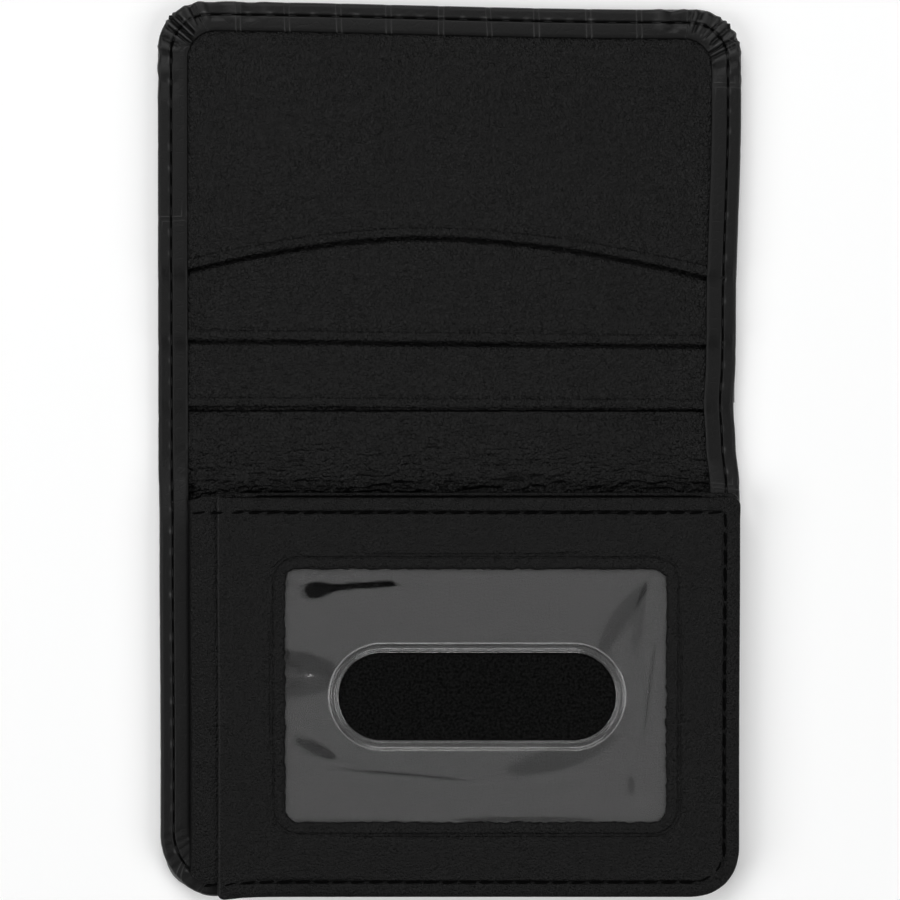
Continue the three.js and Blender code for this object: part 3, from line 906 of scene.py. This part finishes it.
# centre x, centre y, half length, half width, angle, steepness, how much milk is taken away (painted darker
# reflection), how bent
BUCKLES = (
    (-6.6, -26.3, 4.2, 0.4, -3, 0.05, 0.16, 0.0),
    (-27.4, -41.0, 6.6, 1.9, -14, 0.20, 0.60, 0.20),
    (-27.0, -45.6, 6.0, 1.7, 14, 0.16, 0.45, -0.2),
    (-31.2, -43.4, 3.2, 2.8, 0, 0.12, 0.45, 0.0),
    (32.6, -32.6, 9.0, 1.7, 57, 0.20, 0.42, 0.5),
    (36.2, -33.0, 6.5, 1.1, 82, 0.07, 0.30, 0.3),
    (-25.9, -57.4, 4.4, 1.5, -26, 0.22, 0.45, 0.0),
    (-9.0, -62.4, 13.0, 0.45, -5, 0.10, 0.30, 0.3),
    (21.4, -59.2, 11.0, 2.3, 17, 0.20, 0.42, -0.3),
    (14.0, -71.3, 13.0, 0.8, 0, 0.10, 0.30, 0.0),
    (34.8, -64.4, 0.7, 1.9, 12, 0.14, 0.40, 0.0),
    (38.3, -46.0, 9.0, 0.5, 83, 0.10, 0.15, 0.3),
)


def turned_axes(x, y, centre_x, centre_y, angle):
    """Distances from a centre, along and across a line at an angle in degrees."""
    c, s = math.cos(math.radians(angle)), math.sin(math.radians(angle))
    return (x - centre_x) * c + (y - centre_y) * s, -(x - centre_x) * s + (y - centre_y) * c


def drop_buckle(x, y):
    """A drop with a long curved tail: how far it lifts the film, and where its milk is taken away as a
    painted darker reflection.
    """
    u, v = turned_axes(x, y, -25.8, -27.1, 4.5)
    v = v - 0.25 * np.sin(np.pi * np.clip(u / 15, 0, 1))
    half_wide = 0.66 + 1.0 * bump(np.maximum(u, 0), 0, 2.7)
    past = np.where(u < 0, u / 2.0, np.maximum(u - 14.8, 0) / 0.6)
    r = np.hypot(past, v / half_wide)
    ends = np.clip((u + 6.0) / 4.0, 0, 1) * smooth((18.5 - u) / 3.5)
    flank = 1.05 * half_wide
    fade = np.clip(1 - (v - flank) / 2.0, 0, 1) * np.clip((6.2 + v) / 4.4, 0, 1)
    return 0.178 * np.clip(v, -flank, flank) * fade * ends, smooth((1.15 - r) / 0.22)


def vinyl_shape(x, y):
    """Height of the film and how milky it is. It buckles in a few places, and there the milk is taken away as
    a painted darker reflection.
    """
    lift, clear = drop_buckle(x, y)
    film = VINYL_Z - 0.02 + 0.06 * layered_noise(x, y, 26, 91, 2) + lift
    # Less milk in the drop and in the buckles: painted darker reflection.
    milk = 1 - clear
    for centre_x, centre_y, half_long, half_wide, angle, steepness, painted_dark_reflection, bend in BUCKLES:
        u, v = turned_axes(x, y, centre_x, centre_y, angle)
        u = u / half_long
        v = v / half_wide + bend * u * u
        r = np.hypot(u, v)
        film = film + steepness * v * smooth((1.5 - r) / 0.6)
        milk = milk * (1 - painted_dark_reflection * smooth((1.12 - r) / 0.24))
    return film, milk


def build_vinyl():
    """The film between the window's frame and the slot, held down along both."""
    outer, hole = ring_loops(VINYL_BOX, (2,) * 4, SLOT_BOX, (SLOT_CORNER,) * 4, 60, 116, 40)
    share = np.linspace(0, 1, 58)
    plan = outer[None] + (hole - outer)[None] * share[:, None, None]
    x, y = plan[..., 0], plan[..., 1]
    film, milk = vinyl_shape(x, y)
    inside = -box_distance(x, y, WINDOW, WINDOW_CORNER)
    rim = box_distance(x, y, SLOT_BOX, SLOT_CORNER)
    free = smooth((inside + 0.2) / 1.6) * smooth((rim - 0.4) / 2.4)
    held_z = VINYL_Z - 0.1
    z = held_z + (film - held_z) * free
    return film_piece("window_vinyl", raised(plan, z), 0.2, milk)


def build_slot_rim():
    """The pressed bead round the thumb slot: two soft ridges with a valley between."""
    outer_box, outer_corner = grow(SLOT_BOX, RIM_WIDTH), SLOT_CORNER + RIM_WIDTH
    outer, hole = ring_loops(outer_box, (outer_corner,) * 4, SLOT_BOX, (SLOT_CORNER,) * 4, 60, 116, 12)
    t = np.linspace(0, 1, 36)
    profile = 0.06 + 0.26 * bump(t, 0.16, 0.13) + 0.30 * bump(t, 0.84, 0.14)
    frosted = 0.45 + 4.6 * bump(t, 0.06, 0.045) + 1.6 * bump(t, 0.78, 0.045)
    plan = outer[None] + (hole - outer)[None] * t[:, None, None]
    z = VINYL_Z + profile[:, None] + 0 * plan[..., 0]
    milk = frosted[:, None] + 0 * plan[..., 0]
    return film_piece("slot_rim_bead", raised(plan, z), 0.14, milk)


def build_hinge():
    """From under the left border the leather rolls up and runs on beneath the leaf's front."""
    x = np.concatenate([np.linspace(-54.6, -51.0, 10)[:-1], np.arange(-51.0, -43.0, 0.16)])
    share = np.linspace(0, 1, 190)
    bend = OUTER_RADII[0] - 3.0
    centre = (LEFT + OUTER_RADII[0], BOTTOM + OUTER_RADII[0])
    low = centre[1] - np.sqrt(np.maximum(bend**2 - np.minimum(x - centre[0], 0) ** 2, 0))
    high = -9.2 - 0.9 * smooth((-46.2 - x) / 4.0)
    xx = x[None] + 0 * share[:, None]
    yy = low[None] + (high - low)[None] * share[:, None]
    climb = smooth((x + 50.65) / 1.1) * (0.86 + 0.14 * smooth((x + 50.0) / 3.0))
    z = FRONT_Z - 0.06 + (STRIP_TOP - FRONT_Z) * climb - 0.12 * smooth((x + 46.5) / 2.5)
    zz = z[None] + 0.07 * layered_noise(xx, yy, 13, 101) * climb + 0.02 * layered_noise(xx, yy, 2, 104)
    zz = zz - 0.2 * smooth((-78 - yy) / 5) * climb[None]
    return sheet_piece("leaf_hinge_leather", np.stack([xx, yy, zz], -1), 0.5, leaf_leather)


def leaf_seam(inset, z):
    """The seam of the leaf: along the top, down the free side and back along the bottom."""
    x0, x1 = LEAF_MOUTH - 5.2, LEAF_RIGHT - inset
    y0, y1 = LEAF_BOTTOM + inset, LEAF_TOP - inset
    radius = LEAF_CORNER - inset
    turns = np.radians(np.linspace(0, -90, 16))
    corner = np.column_stack([x1 - radius + radius * np.cos(turns), y0 + radius + radius * np.sin(turns)])
    points = np.concatenate([[[x0, y1], [x1, y1]], corner, [[-47.5, y0]]])
    fine = []
    for a, b in zip(points[:-1], points[1:]):
        count = max(int(np.linalg.norm(b - a) / 0.4), 1)
        fine.append(a + (b - a) * np.arange(count)[:, None] / count)
    line = np.concatenate(fine + [points[-1:]])
    line[:, 1] += 0.10 * noise(line[:, 0], line[:, 1], 9, 111)
    height = np.where(line[:, 0] < LEAF_MOUTH, STRIP_TOP - 0.15, z)
    return np.column_stack([line, height])


# -------- assembly
shell, border_seam, border_count = build_shell()
lining = build_lining()
middle_lip = straight_lip(MIDDLE_LIP_Y, 0.0085, 0.15, 7)
rear_lip = straight_lip(REAR_LIP_Y, 0.0055, 0.15, 8)
front = pocket_panel("card_panel_front", lip_front, 83.0, FRONT_Z, 0.5, 131)
middle = pocket_panel("card_panel_middle", middle_lip, 72, MIDDLE_Z, 0.45, 141, lip_front)
rear = pocket_panel("card_panel_rear", rear_lip, 60, REAR_Z, 0.45, 151, middle_lip)
hidden_rear = pocket_panel("hidden_panel_rear", straight_lip(-26.0), -78, REAR_Z, 0.45, 161, cell=0.8)
hidden_front = pocket_panel("hidden_panel_front", straight_lip(-40.0), -78, MIDDLE_Z, 0.45, 171, cell=0.8)
leaf_front = build_leaf_front()
leaf_back = rounded_sheet(
    "leaf_back_leather",
    box=(LEAF_MOUTH, LEAF_RIGHT - 0.15, LEAF_BOTTOM + 0.15, BACK_TOP),
    radii=(1.2, LEAF_CORNER, 1.6, 1.2),
    z=LEAF_BACK_Z,
    thickness=LEAF_THICK,
    material=leaf_leather,
    cell=0.6,
    relief=0.05,
    seed=121,
    curl=LEAF_FRONT_Z - 0.25 - LEAF_THICK - LEAF_BACK_Z,
)
fabric_box = grow(LEAF_BOX, -1)
leaf_fabric = rounded_sheet("leaf_fabric", fabric_box, (1, 6.7, 1, 1), 5.93, 0.25, fabric, 0.9, 0.06, 125)
window = build_vinyl()
rim = build_slot_rim()
hinge = build_hinge()

top_run = stitch_mesh(border_seam, border_count, 3.35, 0.19, 0.07, 0.07, 201, True)
under_seam = border_seam.copy()
under_seam[:, 2] = 0.22
under_run = stitch_mesh(under_seam, border_count, 3.1, 0.17, 0.0, 0.06, 202, True, -1)
verts, faces = join_meshes([top_run, under_run])
border_stitches = face_outwards(make("border_stitches", warp(verts), faces, thread, rest=verts))

seam_line = leaf_seam(SEAM, LEAF_FRONT_Z - 0.12)
leaf_count = round(np.linalg.norm(np.diff(seam_line[:, :2], axis=0), axis=1).sum() / LEAF_PITCH)
front_run = stitch_mesh(seam_line, leaf_count, 3.0, 0.21, 0.02, 0.15, 203, False)
behind = seam_line.copy()
behind[:, 2] = LEAF_BACK_Z - LEAF_THICK
back_run = stitch_mesh(behind, leaf_count, 2.9, 0.19, 0.08, 0.12, 204, False, -1)
verts, faces = join_meshes([front_run, back_run])
leaf_stitches = face_outwards(make("leaf_stitches", verts, faces, thread, rest=verts))

POCKETS = (front, middle, rear, hidden_rear, hidden_front)
LEAF_PIECES = (leaf_front, leaf_back, leaf_fabric, window, rim, hinge, leaf_stitches)
for piece in (lining, *POCKETS, *LEAF_PIECES):
    points = np.array([v.co for v in piece.data.vertices]) / MM
    piece.data.vertices.foreach_set("co", (warp(points) * MM).ravel())
    piece.data.update()

OUTSIDES = ["upper_outer_leather", "lower_outer_leather"]
TURNED_EDGES = [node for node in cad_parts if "_edge_" in node and "stitching" not in node]
for piece, slot, nodes in (
    (shell, "croc_leather", OUTSIDES + TURNED_EDGES),
    (lining, "lining_leather", ["upper_lining", "lower_lining"]),
    (border_stitches, "thread", ["upper_edge_stitching", "lower_edge_stitching"]),
):
    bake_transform(piece)
    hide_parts(*nodes)

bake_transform(hinge)
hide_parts("leaf_anchor_strip", "leaf_hinge_strip")

for piece, body, slot, node in (
    (front, "upper_half", "lining_leather", "card_pocket_front"),
    (middle, "upper_half", "lining_leather", "card_pocket_middle"),
    (rear, "upper_half", "lining_leather", "card_pocket_rear"),
    (hidden_rear, "lower_half", "lining_leather", "hidden_pocket_rear"),
    (hidden_front, "lower_half", "lining_leather", "hidden_pocket_front"),
    (leaf_front, "window_leaf", "leaf_leather", "leaf_front_frame"),
    (leaf_back, "window_leaf", "leaf_leather", "leaf_back_panel"),
    (leaf_fabric, "window_leaf", "lining_fabric", "leaf_inner_lining"),
    (window, "window_leaf", "clear_vinyl", "id_window"),
    (rim, "window_leaf", "clear_vinyl", "thumb_slot_rim"),
    (leaf_stitches, "window_leaf", "thread", "leaf_stitching"),
):
    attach(piece, body)
    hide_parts(node)


# -------- floor, light and camera
FLOOR_HALF = 3.0  # metres
FLOOR_DROP = 0.05  # below the wallet, so that nothing lies in one plane


def build_floor():
    mesh = bpy.data.meshes.new("floor")
    corners = [(x * FLOOR_HALF, y * FLOOR_HALF, 0) for x, y in ((-1, -1), (1, -1), (1, 1), (-1, 1))]
    mesh.from_pydata(corners, [], [(0, 1, 2, 3)])
    floor = bpy.data.objects.new("floor", mesh)
    floor.location.z = -FLOOR_DROP * MM
    bpy.context.scene.collection.objects.link(floor)
    nodes = Nodes("pale_floor")
    glow = nodes.finish(
        Base_Color=colour(0.93),
        Roughness=0.9,
        Specular_IOR_Level=0.1,
        Emission_Color=colour(1.0),
        Emission_Strength=0.10,
    )
    mesh.materials.append(glow)


def soft_light(name, azimuth, elevation, distance, size, radiance):
    """A square softbox that faces the wallet, with its angles in degrees and its size in metres.
    Azimuth 0 stands it to the right and 90 at the far end."""
    light = bpy.data.lights.new(name, "AREA")
    light.shape = "SQUARE"
    light.size = size
    light.energy = radiance * math.pi * size * size
    across, up = math.cos(math.radians(elevation)), math.sin(math.radians(elevation))
    round_z = math.radians(azimuth)
    place = Vector((math.cos(round_z) * across, math.sin(round_z) * across, up))
    lamp = bpy.data.objects.new(name, light)
    lamp.location = place * distance
    lamp.rotation_euler = place.to_track_quat("Z", "Y").to_euler()
    bpy.context.scene.collection.objects.link(lamp)


build_floor()
soft_light("overhead", 0, 90, 1.25, 0.85, 0.24)
soft_light("far_end", 100, 48, 1.5, 1.1, 3.6)
soft_light("left_side", 195, 42, 1.5, 1.0, 3.0)
soft_light("right_side", -20, 42, 1.5, 1.0, 3.0)

world = bpy.data.worlds.new("studio")
world.use_nodes = True
background = world.node_tree.nodes["Background"]
background.inputs["Color"].default_value = (1, 1, 1, 1)
background.inputs["Strength"].default_value = 0.04
bpy.context.scene.world = world
bpy.context.scene.view_settings.view_transform = "Standard"
bpy.context.scene.view_settings.look = "None"

CAMERA_LENS = 120.0
CAMERA_SENSOR = 36.0
VIEW_WIDTH = 173.1  # what the picture is wide, at the height of the leather
camera_data = bpy.data.cameras.new("camera")
camera_data.lens = CAMERA_LENS
camera_data.sensor_width = CAMERA_SENSOR
camera = bpy.data.objects.new("camera", camera_data)
camera.location = (0, -0.2 * MM, (VIEW_WIDTH * CAMERA_LENS / CAMERA_SENSOR + 5.0) * MM)
bpy.context.scene.collection.objects.link(camera)
bpy.context.scene.camera = camera
